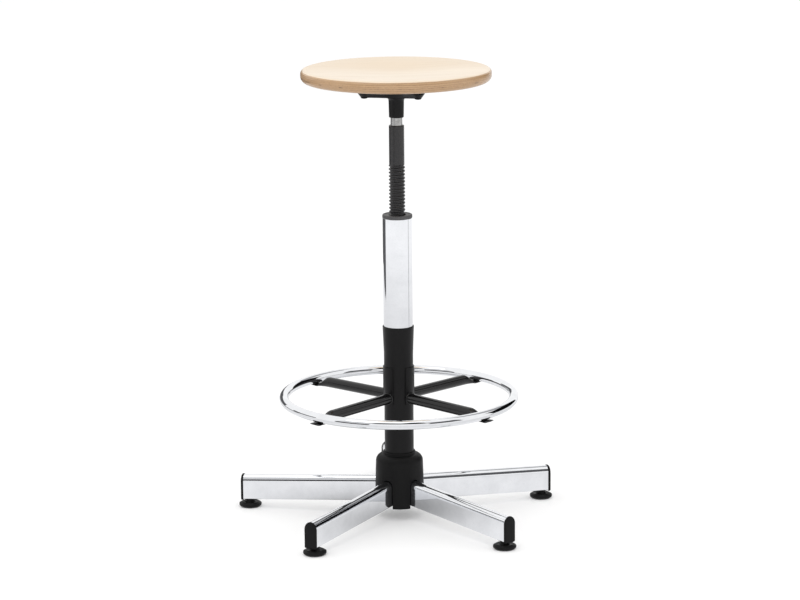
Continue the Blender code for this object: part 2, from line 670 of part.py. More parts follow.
def build_seat(spin, finishes):
    add_object("spindle", spindle_mesh(), finishes["black_paint"], spin)
    add_object("end_washer", end_washer_mesh(), finishes["steel"], spin)
    end_screw = screw_mesh("end_screw", END_SCREW_RADIUS, 0.0052, 0.0036, 0.0140)
    under_washer = PIN_BOTTOM - 2 * GAP - END_WASHER_THICKNESS
    add_object("end_screw", end_screw, finishes["steel"], spin, height=under_washer)
    add_object("taper_socket", taper_socket_mesh(), finishes["black_paint"], spin)

    spider = add_object("seat_spider", seat_spider_mesh(), finishes["black_paint"], spin, SPIDER_TURN)
    board = add_object("seat_board", seat_board_mesh(), finishes["plywood"], spin, SPIDER_TURN)
    guide = finishes["guide"]
    cut(spider, add_object("guide_spider_holes", seat_holes_mesh(True), guide, spin, SPIDER_TURN))
    cut(board, add_object("guide_board_holes", seat_holes_mesh(False), guide, spin, SPIDER_TURN))

    under = SPIDER_BOTTOM - GAP
    screw = screw_mesh("seat_screw", SEAT_SCREW_RADIUS, SEAT_SCREW_HEAD, SEAT_SCREW_HEAD_HEIGHT,
                       SEAT_SCREW_TOP - under - GAP)
    for i in range(4):
        turn = SPIDER_TURN + i * pi / 2
        fixing = add_object(f"seat_screw_{i + 1}", screw, finishes["black_paint"], spin)
        fixing.location = (SEAT_SCREW_CIRCLE * cos(turn), SEAT_SCREW_CIRCLE * sin(turn), under)


def main():
    for old in list(bpy.data.objects):
        bpy.data.objects.remove(old, do_unlink=True)

    finishes = {
        "plywood": material("plywood", (0.80, 0.62, 0.41), 0.45, 0.0),
        "chrome": material("chrome", (0.86, 0.87, 0.88), 0.06, 1.0),
        "steel": material("steel", (0.70, 0.70, 0.69), 0.28, 1.0),
        "black_paint": material("black_paint", (0.030, 0.030, 0.032), 0.38, 0.0),
        "black_plastic": material("black_plastic", (0.035, 0.034, 0.036), 0.45, 0.0),
        "guide": material("guide", (1.0, 0.4, 0.1), 0.5, 0.0),
    }
    axis = add_empty("column_axis", (0, AXIS_Y, 0))
    lift = add_empty("seat_height_slide", (0, 0, 0), axis)
    spin = add_empty("seat_turn_axis", (0, 0, 0), lift)

    build_base(axis, finishes)
    build_column(axis, finishes)
    build_foot_ring(axis, finishes)
    add_object("guide_bush", guide_bush_mesh(), finishes["black_plastic"], lift)
    build_seat(spin, finishes)


main()
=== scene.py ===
"""Looks of the adjustable swivel stool: detailed pieces, finishes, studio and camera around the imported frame.

Every piece is modelled about the column's axis, in metres, with the floor at z = 0 and the front facing -Y.
"""

import json
from math import atan2, cos, pi, radians, sin, sqrt, tan

import bmesh
import bpy
from mathutils import Matrix, Vector


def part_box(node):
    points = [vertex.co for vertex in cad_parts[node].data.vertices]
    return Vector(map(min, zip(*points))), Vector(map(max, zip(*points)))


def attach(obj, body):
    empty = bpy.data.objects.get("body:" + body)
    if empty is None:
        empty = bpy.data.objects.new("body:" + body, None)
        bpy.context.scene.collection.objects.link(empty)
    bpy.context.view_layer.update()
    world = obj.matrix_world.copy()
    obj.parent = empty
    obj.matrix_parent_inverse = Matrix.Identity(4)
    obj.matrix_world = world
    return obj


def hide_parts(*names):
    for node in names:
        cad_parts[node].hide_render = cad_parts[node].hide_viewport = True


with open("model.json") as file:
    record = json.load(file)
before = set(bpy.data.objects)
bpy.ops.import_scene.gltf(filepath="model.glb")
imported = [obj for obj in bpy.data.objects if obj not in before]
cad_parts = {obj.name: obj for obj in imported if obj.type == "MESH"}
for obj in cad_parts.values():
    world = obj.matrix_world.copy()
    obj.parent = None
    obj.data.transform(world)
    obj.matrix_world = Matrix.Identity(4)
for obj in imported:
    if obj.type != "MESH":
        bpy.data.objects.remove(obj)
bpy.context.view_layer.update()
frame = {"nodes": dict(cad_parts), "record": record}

# Where the frame puts things
BODY_OF = {node: body for body, nodes in frame["record"]["behaviour"]["bodies"].items() for node in nodes}
SLOT_OF = {part["node"]: part["material_slot"] for part in frame["record"]["subparts"]}
AXIS = (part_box("upper_tube")[0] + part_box("upper_tube")[1]) / 2
AXIS.z = 0.0


def span(node):
    """Radius, bottom and top of a round CAD node that stands on the column's axis."""
    low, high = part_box(node)
    return (high.x - low.x) / 2, low.z, high.z


ARM_COUNT = 5
ARM_LOW, ARM_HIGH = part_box("arm_1")                  # the arm along +Y
CAP_LOW, CAP_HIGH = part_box("arm_cap_1")
ARM_START, ARM_END = ARM_LOW.y - AXIS.y, ARM_HIGH.y - AXIS.y
GLIDE_LOW, GLIDE_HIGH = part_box("glide_1")
GLIDE_CIRCLE = (GLIDE_LOW.y + GLIDE_HIGH.y) / 2 - AXIS.y
SEAT_RADIUS, SEAT_BOTTOM, SEAT_TOP = span("seat_board")
LOWER_FLARE, LOWER_BOTTOM, LOWER_TOP = span("lower_tube")
UPPER_RADIUS, UPPER_BOTTOM, UPPER_TOP = span("upper_tube")
CAP_RADIUS, CAP_BOTTOM, CAP_TOP = span("column_cap")
SOCKET_FLANGE, SOCKET_BOTTOM, SOCKET_TOP = span("taper_socket")
SPINDLE_CREST, PIN_BOTTOM, SPINDLE_TOP = span("spindle")
SPIDER_BOTTOM, SPIDER_TOP = (corner.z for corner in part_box("seat_spider"))
SHELL_BOTTOM, SHELL_TOP = (corner.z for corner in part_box("ring_shell_right"))
RING_LOW, RING_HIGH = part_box("foot_ring")
RING_THINNING = 0.0005                               # the tube looks this much finer than the CAD's
RING_TUBE = (RING_HIGH.z - RING_LOW.z) / 2 - RING_THINNING
RING_HEIGHT = RING_LOW.z + RING_TUBE
RING_RADIUS = (RING_HIGH.x - RING_LOW.x) / 2 - RING_TUBE

# Sizes that the frame's boxes don't tell
GAP = 0.0003                                         # clearance between pieces that touch
FACET_MARGIN = 0.0003                                # a smooth piece is this much inside its faceted CAD box
TUBE_WALL = 0.0040
ARM_RISE = 0.052                                     # slope of an arm towards the hub
ARM_CROWN = 1.16                                     # height of an arm's rounded top, in half widths
ARM_BOTTOM = ARM_LOW.z
ARM_TOP = ARM_HIGH.z - ARM_RISE * (ARM_END - ARM_START)
ARM_CAP_TOP = ARM_TOP + 0.0008
LOWER_RADIUS = 0.0265
FLARE_START = 0.3050
SEAT_DISH, SEAT_RIM = 0.0065, 0.1560
SEAT_TOP_ROUND, SEAT_BOTTOM_ROUND = 0.0070, 0.0110
PLY = 0.0017
GAPPED_PLY = 7.0                                     # counted down from the top face
LEAD = 0.0064
THREAD_ROOT = 0.0124
THREAD_BOTTOM, THREAD_TOP = 0.4405, 0.6516
THREAD_PHASE = 0.4467                                # height of a crest at angle 0
SHANK_RADIUS, SHANK_TOP = 0.0137, 0.7213
TAPER_RADIUS, TAPER_TIP_RADIUS = 0.01065, 0.0094
PIN_RADIUS = 0.0100
SOCKET_RADIUS, SOCKET_FOOT, SOCKET_NECK = 0.0139, 0.0132, 0.0126
SPIDER_TIP_BOTTOM, SPIDER_CENTRE = 0.7775, 0.0185
SPIDER_HALF_WIDTH, SPIDER_WEB = 0.0125, 0.0260
SPIDER_BEVEL, SPIDER_BEVEL_HEIGHT = 0.0060, 0.0080
SPIDER_TURN = radians(29.8)
SCREW_CIRCLE = 0.0682
RING_TURN = radians(42.7)
SHELL_HALF_ANGLE = radians(65)
SHELL_THICKNESS = 0.0016
SPOKE_RADIUS = 0.0095
RING_SCREW_HEAD, SEAT_SCREW_HEAD = 0.0022, 0.0024    # height of the screws' heads
SCREW_RADIUS = 0.0030
HUB_BOTTOM, HUB_TOP = 0.0223, 0.1225
HUB_RADIUS, HUB_WALL = 0.0442, 0.0038
ROUND_SIDES = 96
VIEW_HEADING = radians(-4.28)                        # where the viewer stands, turned from the front


# ---------------------------------------------------------------- mesh tools


def rounded(corners, closed=False, steps=6):
    """Outline through corners (x, y, radius), each rounded by an arc that touches both of its sides."""
    points = []
    count = len(corners)
    for i, (x, y, radius) in enumerate(corners):
        here = Vector((x, y))
        if radius == 0 or (not closed and i in (0, count - 1)):
            points.append(here)
            continue
        before = (Vector(corners[i - 1][:2]) - here).normalized()
        after = (Vector(corners[(i + 1) % count][:2]) - here).normalized()
        half = before.angle(after) / 2
        centre = here + (before + after).normalized() * (radius / sin(half))
        start = here + before * (radius / tan(half)) - centre
        end = here + after * (radius / tan(half)) - centre
        sweep = atan2(start.cross(end), start.dot(end))
        for k in range(steps + 1):
            points.append(centre + Matrix.Rotation(sweep * k / steps, 2) @ start)
    return points


def supported(points, closed=False, support=0.0004):
    """Adds a point near each end of every long straight stretch, so that its smooth shading stays flat."""
    made = []
    count = len(points)
    for i, point in enumerate(points):
        made.append(point)
        if i == count - 1 and not closed:
            break
        following = points[(i + 1) % count]
        step = Vector(following) - Vector(point)
        if step.length > 6 * support:
            made.append(Vector(point) + step.normalized() * support)
            made.append(Vector(following) - step.normalized() * support)
    return made


def bridge(shape, first, second):
    """Joins two rings of equal length, or a ring and a single point."""
    count = max(len(first), len(second))
    for i in range(count):
        j = (i + 1) % count
        corners = [first[i % len(first)], first[j % len(first)],
                   second[j % len(second)], second[i % len(second)]]
        shape.faces.new(list(dict.fromkeys(corners)))


def skin(shape, rings, closed=False):
    """Joins rings of vertices into a skin, closed end to end or with flat ends."""
    for first, second in zip(rings, rings[1:]):
        bridge(shape, first, second)
    if closed:
        bridge(shape, rings[-1], rings[0])
        return
    for ring in (rings[0], rings[-1]):
        if len(ring) > 1:
            shape.faces.new(ring)


def turned(shape, profile, sides=ROUND_SIDES, closed=False):
    """Turns (radius, height) points about Z."""
    rings = []
    for radius, height in profile:
        count = sides if radius > 1e-6 else 1
        angles = [2 * pi * i / sides for i in range(count)]
        rings.append([shape.verts.new((radius * cos(a), radius * sin(a), height)) for a in angles])
    skin(shape, rings, closed)


def lofted(shape, sections, closed=False):
    skin(shape, [[shape.verts.new(point) for point in section] for section in sections], closed)


def to_mesh(name, shape, sharp=38):
    bmesh.ops.recalc_face_normals(shape, faces=shape.faces)
    mesh = bpy.data.meshes.new(name)
    shape.to_mesh(mesh)
    shape.free()
    mesh.shade_smooth()
    mesh.set_sharp_from_angle(angle=radians(sharp))
    return mesh


def turned_mesh(name, corners, sides=ROUND_SIDES, closed=False):
    """Lathe mesh from corners (radius, height, rounding)."""
    shape = bmesh.new()
    turned(shape, supported(rounded(corners, closed), closed), sides, closed)
    return to_mesh(name, shape)


def polar(radius, angle, height=0.0):
    return Vector((radius * cos(angle), radius * sin(angle), height))


def smooth_step(value):
    value = min(max(value, 0.0), 1.0)
    return value * value * (3 - 2 * value)


def add_piece(name, mesh, finish, node, turn=0.0, offset=(0.0, 0.0, 0.0)):
    """Places a detailed piece that stands for a CAD node, about the column's axis."""
    piece = bpy.data.objects.new(name, mesh)
    if not mesh.materials:
        mesh.materials.append(finish)
    piece.location = AXIS + Vector(offset)
    piece.rotation_euler.z = turn
    bpy.context.scene.collection.objects.link(piece)
    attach(piece, BODY_OF[node])
    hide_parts(node)
    return piece


# ---------------------------------------------------------------- finishes


class Finish:
    """A material built from nodes, with short calls for the nodes that the finishes share."""

    def __init__(self, name, colour, roughness, metallic=0.0):
        self.material = bpy.data.materials.new(name)
        self.material.use_nodes = True
        self.tree = self.material.node_tree
        self.shader = self.tree.nodes["Principled BSDF"]
        self.shader.inputs["Base Color"].default_value = (*colour, 1)
        self.shader.inputs["Roughness"].default_value = roughness
        self.shader.inputs["Metallic"].default_value = metallic
        self.place = self.add("ShaderNodeTexCoord").outputs["Object"]

    def add(self, kind, **settings):
        made = self.tree.nodes.new(kind)
        for key, value in settings.items():
            setattr(made, key, value)
        return made

    def feed(self, socket, value):
        if isinstance(value, bpy.types.NodeSocket):
            self.tree.links.new(value, socket)
        else:
            socket.default_value = value

    def maths(self, operation, *values):
        made = self.add("ShaderNodeMath", operation=operation)
        for socket, value in zip(made.inputs, values):
            self.feed(socket, value)
        return made.outputs[0]

    def stretched(self, scale, turn=0.0):
        made = self.add("ShaderNodeMapping")
        self.feed(made.inputs["Vector"], self.place)
        made.inputs["Scale"].default_value = scale
        made.inputs["Rotation"].default_value = (0, 0, turn)
        return made.outputs[0]

    def noise(self, vector, scale, detail=3.0, roughness=0.5, distortion=0.0):
        made = self.add("ShaderNodeTexNoise")
        self.feed(made.inputs["Vector"], vector)
        made.inputs["Scale"].default_value = scale
        made.inputs["Detail"].default_value = detail
        made.inputs["Roughness"].default_value = roughness
        made.inputs["Distortion"].default_value = distortion
        return made.outputs[0]

    def spread(self, value, low, high, to_low, to_high):
        """Maps a value from one range to another, clamped."""
        made = self.add("ShaderNodeMapRange")
        self.feed(made.inputs["Value"], value)
        for name, number in zip(("From Min", "From Max", "To Min", "To Max"), (low, high, to_low, to_high)):
            self.feed(made.inputs[name], number)
        return made.outputs[0]

    def blend(self, share, first, second):
        made = self.add("ShaderNodeMix", data_type="RGBA")
        self.feed(made.inputs[0], share)
        for socket, colour in ((made.inputs[6], first), (made.inputs[7], second)):
            self.feed(socket, colour if isinstance(colour, bpy.types.NodeSocket) else (*colour, 1))
        return made.outputs[2]

    def bump(self, height, strength, distance, under=None):
        made = self.add("ShaderNodeBump")
        made.inputs["Strength"].default_value = strength
        made.inputs["Distance"].default_value = distance
        self.feed(made.inputs["Height"], height)
        if under is not None:
            self.feed(made.inputs["Normal"], under)
        return made.outputs[0]

    def set(self, name, value):
        self.feed(self.shader.inputs[name], value)


def chrome_finish():
    """Bright plate with a faint polishing ripple, hairline scratches and a little haze."""
    finish = Finish("bright_chrome", (0.82, 0.83, 0.85), 0.05, 1.0)
    plain = finish.stretched((1, 1, 1))
    haze = finish.noise(plain, 38, 4)
    finish.set("Roughness", finish.spread(haze, 0.3, 0.75, 0.03, 0.08))
    tone = finish.noise(plain, 30, 6, 0.65)
    finish.set("Base Color", finish.blend(finish.spread(tone, 0.32, 0.68, 0, 1),
                                          (0.79, 0.80, 0.82), (0.865, 0.875, 0.895)))
    ripple = finish.noise(plain, 60, 2)
    scratch = finish.noise(finish.stretched((1, 1, 0.15), 0.6), 1400, 1)
    fine = finish.bump(scratch, 0.03, 0.00003)
    finish.set("Normal", finish.bump(ripple, 0.08, 0.0004, fine))
    return finish.material


def paint_finish(name, roughness, specular, tone):
    """Dark coating with a fine orange peel."""
    finish = Finish(name, (tone, tone, tone * 1.05), roughness)
    plain = finish.stretched((1, 1, 1))
    cloud = finish.noise(plain, 40, 3)
    finish.set("Roughness", finish.spread(cloud, 0.3, 0.7, roughness - 0.05, roughness + 0.06))
    dust = finish.noise(plain, 2600, 1)
    speck = tone + 0.016
    finish.set("Base Color", finish.blend(finish.spread(dust, 0.66, 0.78, 0, 1),
                                          (tone, tone * 0.94, tone * 1.02), (speck, speck * 0.96, speck)))
    finish.set("Specular IOR Level", specular)
    finish.set("Normal", finish.bump(finish.noise(plain, 700, 2, 0.45), 0.22, 0.0002))
    return finish.material


def plastic_finish(name, tone, specular):
    """Moulded dark plastic with a fine grained surface."""
    finish = Finish(name, (tone, tone, tone * 1.06), 0.5)
    plain = finish.stretched((1, 1, 1))
    cloud = finish.noise(plain, 55, 3)
    finish.set("Roughness", finish.spread(cloud, 0.3, 0.7, 0.42, 0.56))
    finish.set("Base Color", finish.blend(cloud, (tone * 0.7, tone * 0.68, tone * 0.72),
                                          (tone * 1.5, tone * 1.46, tone * 1.52)))
    finish.set("Specular IOR Level", specular)
    finish.set("Normal", finish.bump(finish.noise(plain, 2200, 2, 0.6), 0.18, 0.00012))
    return finish.material


def steel_finish():
    """Bare turned steel: fine rings from the lathe and a slightly uneven tone."""
    finish = Finish("turned_steel", (0.62, 0.62, 0.62), 0.3, 1.0)
    rings = finish.noise(finish.stretched((20, 20, 2600)), 1.0, 2)
    cloud = finish.noise(finish.stretched((1, 1, 1)), 90, 4, 0.6)
    finish.set("Roughness", finish.spread(rings, 0.3, 0.7, 0.24, 0.40))
    finish.set("Base Color", finish.blend(finish.spread(cloud, 0.42, 0.72, 0, 1),
                                          (0.50, 0.50, 0.495), (0.33, 0.325, 0.315)))
    finish.set("Normal", finish.bump(rings, 0.25, 0.00005))
    return finish.material


def veneer_finish():
    """Lacquered pale veneer over cross-banded plies, which show where the edge is rounded off."""
    finish = Finish("lacquered_plywood", (0.80, 0.68, 0.50), 0.4)
    across = finish.add("ShaderNodeSeparateXYZ")
    finish.feed(across.inputs[0], finish.place)
    x, y, height = across.outputs
    squares = finish.maths("ADD", finish.maths("MULTIPLY", x, x), finish.maths("MULTIPLY", y, y))
    radius = finish.maths("SQRT", squares)

    turn = radians(24)
    grain = finish.noise(finish.stretched((9, 330, 40), turn), 1.0, 6, 0.62, 0.3)
    figure = finish.noise(finish.stretched((3.2, 26, 8), turn), 1.0, 4, 0.55, 0.8)
    fleck = finish.noise(finish.stretched((150, 1500, 300), turn), 1.0, 2)
    face = finish.blend(finish.spread(figure, 0.30, 0.72, 0, 1), (0.82, 0.69, 0.525), (0.735, 0.595, 0.43))
    # Painted shade: the back half of the board is coloured a shade darker, standing in for the dish's shading.
    face = finish.blend(finish.spread(y, -0.03, 0.05, 0, 1), face, (0.72, 0.565, 0.385))
    face = finish.blend(finish.spread(grain, 0.45, 0.75, 0, 0.40), face, (0.61, 0.45, 0.28))
    face = finish.blend(finish.spread(fleck, 0.66, 0.74, 0, 0.32), face, (0.46, 0.30, 0.17))

    outside = finish.maths("GREATER_THAN", radius, SEAT_RIM)
    depth = finish.maths("MULTIPLY", finish.maths("SUBTRACT", SEAT_TOP, height), outside)
    wander = finish.noise(finish.stretched((1, 1, 0)), 14, 2)
    plies_down = finish.maths("DIVIDE", depth, PLY)
    layer = finish.maths("ADD", plies_down, finish.spread(wander, 0.3, 0.7, -0.10, 0.10))
    number = finish.maths("FLOOR", layer)
    odd = finish.maths("MODULO", number, 2.0)
    # A ply shows end grain where its grain meets the edge head on, and long grain a quarter turn away.
    along = finish.maths("DIVIDE", x, radius)
    facing = finish.maths("MULTIPLY", along, along)
    share = finish.maths("ABSOLUTE", finish.maths("SUBTRACT", odd, facing))
    pores = finish.noise(finish.stretched((1, 1, 0.4)), 900, 3, 0.6)
    long_grain = finish.noise(finish.stretched((1, 1, 14)), 70, 5, 0.65)
    light = finish.blend(finish.spread(long_grain, 0.35, 0.7, 0, 1),
                         (0.60, 0.395, 0.215), (0.47, 0.285, 0.14))
    dark = finish.blend(finish.spread(pores, 0.40, 0.66, 0, 1),
                        (0.50, 0.305, 0.155), (0.27, 0.145, 0.065))
    edge = finish.blend(share, light, dark)
    tint = finish.add("ShaderNodeTexWhiteNoise", noise_dimensions="1D")
    finish.feed(tint.inputs["W"], number)
    edge = finish.blend(finish.spread(tint.outputs["Value"], 0, 1, 0, 0.28), edge, (0.33, 0.19, 0.09))
    within = finish.maths("FRACT", layer)
    from_middle = finish.maths("ABSOLUTE", finish.maths("SUBTRACT", within, 0.5))
    line = finish.spread(from_middle, 0.42, 0.49, 0, 0.75)
    edge = finish.blend(line, edge, (0.16, 0.085, 0.04))
    # One inner ply has short open gaps.
    gap_noise = finish.noise(finish.stretched((1, 1, 0.1)), 26, 3, 0.6)
    plies_away = finish.maths("ABSOLUTE", finish.maths("SUBTRACT", number, GAPPED_PLY))
    near = finish.maths("LESS_THAN", plies_away, 0.5)
    gap = finish.maths("MULTIPLY", finish.spread(gap_noise, 0.56, 0.62, 0, 0.7), near)
    edge = finish.blend(gap, edge, (0.12, 0.065, 0.03))

    cut = finish.maths("GREATER_THAN", layer, 0.9)
    finish.set("Base Color", finish.blend(cut, face, edge))
    finish.set("Roughness", finish.spread(grain, 0.3, 0.7, 0.36, 0.46))
    finish.shader.inputs["Coat Weight"].default_value = 0.45
    finish.shader.inputs["Coat Roughness"].default_value = 0.18
    face_relief = finish.bump(grain, 0.10, 0.00008)
    finish.set("Normal", finish.bump(finish.maths("MULTIPLY", pores, cut), 0.25, 0.00012, face_relief))
    return finish.material


# ---------------------------------------------------------------- base


def arm_outline(half_width, bottom, top, corner):
    """Section across an arm: flat sides, a round and slightly tall top, and rounded lower corners."""
    crown_height = half_width * ARM_CROWN
    shoulder = top - crown_height
    lower = rounded([(-half_width, shoulder, 0), (-half_width, bottom, corner),
                     (half_width, bottom, corner), (half_width, shoulder, 0)])
    steps = 28
    crown = [Vector((half_width * cos(pi * i / steps), shoulder + crown_height * sin(pi * i / steps)))
             for i in range(1, steps)]
    return supported(lower + crown, closed=True)


def along_arm(outline, x):
    """Section of an arm at x, raised by the arm's slope."""
    return [(x, y, z + ARM_RISE * (ARM_END - x)) for y, z in outline]


def arm_mesh():
    half, wall, edge = (ARM_HIGH.x - ARM_LOW.x) / 2, 0.0020, 0.0004
    outer = arm_outline(half, ARM_BOTTOM, ARM_TOP, 0.0016)
    inner = arm_outline(half - wall, ARM_BOTTOM + wall, ARM_TOP - wall, 0.0008)
    stations = [(outer, ARM_START), (outer, ARM_START + edge), (outer, ARM_END - edge), (outer, ARM_END),
                (inner, ARM_END), (inner, ARM_START)]
    shape = bmesh.new()
    lofted(shape, [along_arm(outline, x) for outline, x in stations], closed=True)
    return to_mesh("arm_detail", shape)


def arm_cap_mesh():
    """Cap with a plug, a shadow gap against the arm and a softly domed, rounded face."""
    half = (CAP_HIGH.x - CAP_LOW.x) / 2
    face = ARM_END + GAP
    thickness = CAP_HIGH.y - AXIS.y - face - FACET_MARGIN
    plug_start = CAP_LOW.y - AXIS.y
    plug_inset = half - (ARM_HIGH.x - ARM_LOW.x) / 2 + 0.0025
    edge = 0.0024

    def section(x, inset):
        corner = 0.0030 - min(inset, 0.0026)
        outline = arm_outline(half - inset, CAP_LOW.z + inset, ARM_CAP_TOP - inset, corner)
        return along_arm(outline, min(x, ARM_END)) if x < face else [(x, y, z) for y, z in outline]

    sections = [section(plug_start, plug_inset + 0.0010), section(plug_start + 0.0015, plug_inset),
                section(face, plug_inset), section(face, 0.0004), section(face + 0.0004, 0.0)]
    for i in range(7):
        angle = pi / 2 * i / 6
        x = face + thickness - edge + edge * 0.86 * sin(angle)
        sections.append(section(x, edge * (1 - cos(angle))))
    sections.append(section(face + thickness - 0.0001, 0.0060))
    sections.append(section(face + thickness, 0.0095))
    shape = bmesh.new()
    lofted(shape, sections)
    return to_mesh("arm_cap_detail", shape)


def glide_mesh():
    radius = (GLIDE_HIGH.x - GLIDE_LOW.x) / 2 - FACET_MARGIN
    height, neck_top = 0.0095, GLIDE_HIGH.z
    neck, bore, bore_bottom = 0.0080, 0.0053, 0.0032
    corners = [(0, 0.0, 0), (radius - 0.0034, 0.0, 0.0022), (radius, 0.0032, 0.0020),
               (radius, 0.0066, 0.0016), (radius - 0.0050, height, 0.0020),
               (neck + 0.0024, height - 0.0006, 0.0010),
               (neck, height + 0.0014, 0.0010), (neck, neck_top, 0.0005), (bore, neck_top, 0),
               (bore, bore_bottom, 0), (0, bore_bottom, 0)]
    return turned_mesh("glide_detail", corners, 72)


def boolean(target, cutter, operation):
    """Applies one Boolean to the target's mesh and removes the cutter."""
    modifier = target.modifiers.new(operation, "BOOLEAN")
    modifier.operation = operation
    modifier.solver = "EXACT"
    modifier.object = cutter
    settle(target)
    bpy.data.objects.remove(cutter, do_unlink=True)


def settle(piece):
    """Replaces an object's mesh by what its modifiers make of it."""
    view = bpy.context.evaluated_depsgraph_get()
    made = bpy.data.meshes.new_from_object(piece.evaluated_get(view), depsgraph=view)
    piece.modifiers.clear()
    piece.data = made


def loose(mesh):
    made = bpy.data.objects.new(mesh.name, mesh)
    bpy.context.scene.collection.objects.link(made)
    return made


def hub_cover_mesh():
    """Moulded dome with a lip round the column and slots for the arms, open below."""
    lip = LOWER_RADIUS + 0.0006
    inside = HUB_RADIUS - HUB_WALL
    corners = [(lip, HUB_TOP, 0.0004), (0.0290, HUB_TOP, 0.0007), (0.0287, 0.1178, 0.0010),
               (0.0425, 0.1160, 0.0135), (HUB_RADIUS, 0.0600, 0.0200), (HUB_RADIUS, HUB_BOTTOM, 0.0010),
               (inside, HUB_BOTTOM, 0.0006), (inside - 0.0002, 0.1000, 0.0060), (0.0330, 0.1095, 0.0040),
               (lip, 0.1120, 0.0004)]
    cover = loose(turned_mesh("hub_cover_detail", corners, ROUND_SIDES, closed=True))

    slot_half = (ARM_HIGH.x - ARM_LOW.x) / 2 + 0.0006
    outline = arm_outline(slot_half, -0.01, ARM_TOP + 0.0012, 0.001)
    slots = bmesh.new()
    for i in range(ARM_COUNT):
        turn = Matrix.Rotation(2 * pi * i / ARM_COUNT + pi / 2, 3, "Z")
        lofted(slots, [[turn @ Vector(point) for point in along_arm(outline, x)] for x in (0.0350, 0.0600)])
    boolean(cover, loose(to_mesh("arm_slots", slots)), "DIFFERENCE")

    bevel = cover.modifiers.new("soft_edges", "BEVEL")
    bevel.width = 0.0006
    bevel.segments = 2
    bevel.limit_method = "ANGLE"
    bevel.angle_limit = radians(50)
    settle(cover)
    mesh = cover.data
    mesh.shade_smooth()
    mesh.set_sharp_from_angle(angle=radians(34))
    bpy.data.objects.remove(cover, do_unlink=True)
    return mesh


def tube_along(shape, path, radius, sides=10):
    """Round wire through the points of a path, with closed ends."""
    sections = []
    for i, point in enumerate(path):
        ahead = path[min(i + 1, len(path) - 1)] - path[max(i - 1, 0)]
        turn = ahead.to_track_quat("Z", "Y").to_matrix()
        sections.append([point + turn @ polar(radius, 2 * pi * k / sides) for k in range(sides)])
    lofted(shape, sections)


def eased(points, steps):
    """Smooth curve through a few points (Catmull-Rom)."""
    made = []
    for i in range(len(points) - 1):
        nearby = (min(max(i + k, 0), len(points) - 1) for k in (-1, 0, 1, 2))
        before, start, end, after = (Vector(points[k]) for k in nearby)
        slope = end - before
        bend = 2 * before - 5 * start + 4 * end - after
        twist = 3 * start - before - 3 * end + after
        for j in range(steps):
            t = j / steps
            made.append(0.5 * (2 * start + slope * t + bend * t * t + twist * t ** 3))
    made.append(Vector(points[-1]))
    return made


def wire_clip_mesh():
    path = [(-0.0150, 0.0235, 0.1340), (-0.0215, 0.0195, 0.1352), (-0.0272, 0.0120, 0.1343),
            (-0.0305, 0.0040, 0.1305), (-0.0316, -0.0020, 0.1250), (-0.0318, -0.0040, 0.1205)]
    shape = bmesh.new()
    tube_along(shape, eased(path, 6), 0.0006)
    return to_mesh("hub_wire_clip_detail", shape)


def build_base(finishes):
    arm, cap, glide = arm_mesh(), arm_cap_mesh(), glide_mesh()
    for i in range(ARM_COUNT):
        turn = pi / 2 + 2 * pi * i / ARM_COUNT
        add_piece(f"arm_{i + 1}_detail", arm, finishes["chrome"], f"arm_{i + 1}", turn)
        add_piece(f"arm_cap_{i + 1}_detail", cap, finishes["plastic"], f"arm_cap_{i + 1}", turn)
        add_piece(f"glide_{i + 1}_detail", glide, finishes["plastic"], f"glide_{i + 1}", turn,
                  polar(GLIDE_CIRCLE, turn))
    add_piece("hub_cover_detail", hub_cover_mesh(), finishes["plastic"], "hub_cover")
    add_piece("hub_wire_clip_detail", wire_clip_mesh(), finishes["steel"], "hub_wire_clip")


# ---------------------------------------------------------------- column


def lower_tube_mesh():
    """Tube that widens gently to the mouth that the upper tube stands in."""
    socket, inner = UPPER_RADIUS + GAP, LOWER_RADIUS - TUBE_WALL
    ledge = UPPER_BOTTOM - GAP
    corners = [(LOWER_RADIUS, LOWER_BOTTOM, 0), (LOWER_RADIUS, FLARE_START, 0.18),
               (LOWER_FLARE, LOWER_TOP, 0.0009), (socket, LOWER_TOP, 0.0004), (socket, ledge, 0),
               (inner, ledge, 0), (inner, LOWER_BOTTOM, 0)]
    shape = bmesh.new()
    turned(shape, supported(rounded(corners, steps=8), closed=True), ROUND_SIDES, closed=True)
    return to_mesh("lower_tube_detail", shape)


def upper_tube_mesh():
    inner = UPPER_RADIUS - TUBE_WALL
    corners = [(UPPER_RADIUS, UPPER_BOTTOM, 0.0004), (UPPER_RADIUS, UPPER_TOP, 0.0004),
               (inner, UPPER_TOP, 0.0004), (inner, UPPER_BOTTOM, 0.0004)]
    return turned_mesh("upper_tube_detail", corners, 128, closed=True)


def column_cap_mesh():
    """Cap with a spigot in the tube, a rounded rim and a shallow step round the thread's hole."""
    hole = SPINDLE_CREST + 0.0008
    spigot = UPPER_RADIUS - TUBE_WALL - 0.0006
    under = UPPER_TOP + GAP
    corners = [(hole, CAP_BOTTOM, 0.0005), (spigot, CAP_BOTTOM, 0.0006), (spigot, under, 0),
               (CAP_RADIUS, under, 0.0006), (CAP_RADIUS, CAP_TOP, 0.0020), (hole + 0.0085, CAP_TOP, 0.0008),
               (hole + 0.0070, CAP_TOP - 0.0009, 0.0008), (hole, CAP_TOP - 0.0007, 0.0005)]
    return turned_mesh("column_cap_detail", corners, ROUND_SIDES, closed=True)


def build_column(finishes):
    add_piece("lower_tube_detail", lower_tube_mesh(), finishes["paint"], "lower_tube")
    add_piece("upper_tube_detail", upper_tube_mesh(), finishes["chrome"], "upper_tube")
    add_piece("column_cap_detail", column_cap_mesh(), finishes["cap"], "column_cap")


# ---------------------------------------------------------------- foot ring


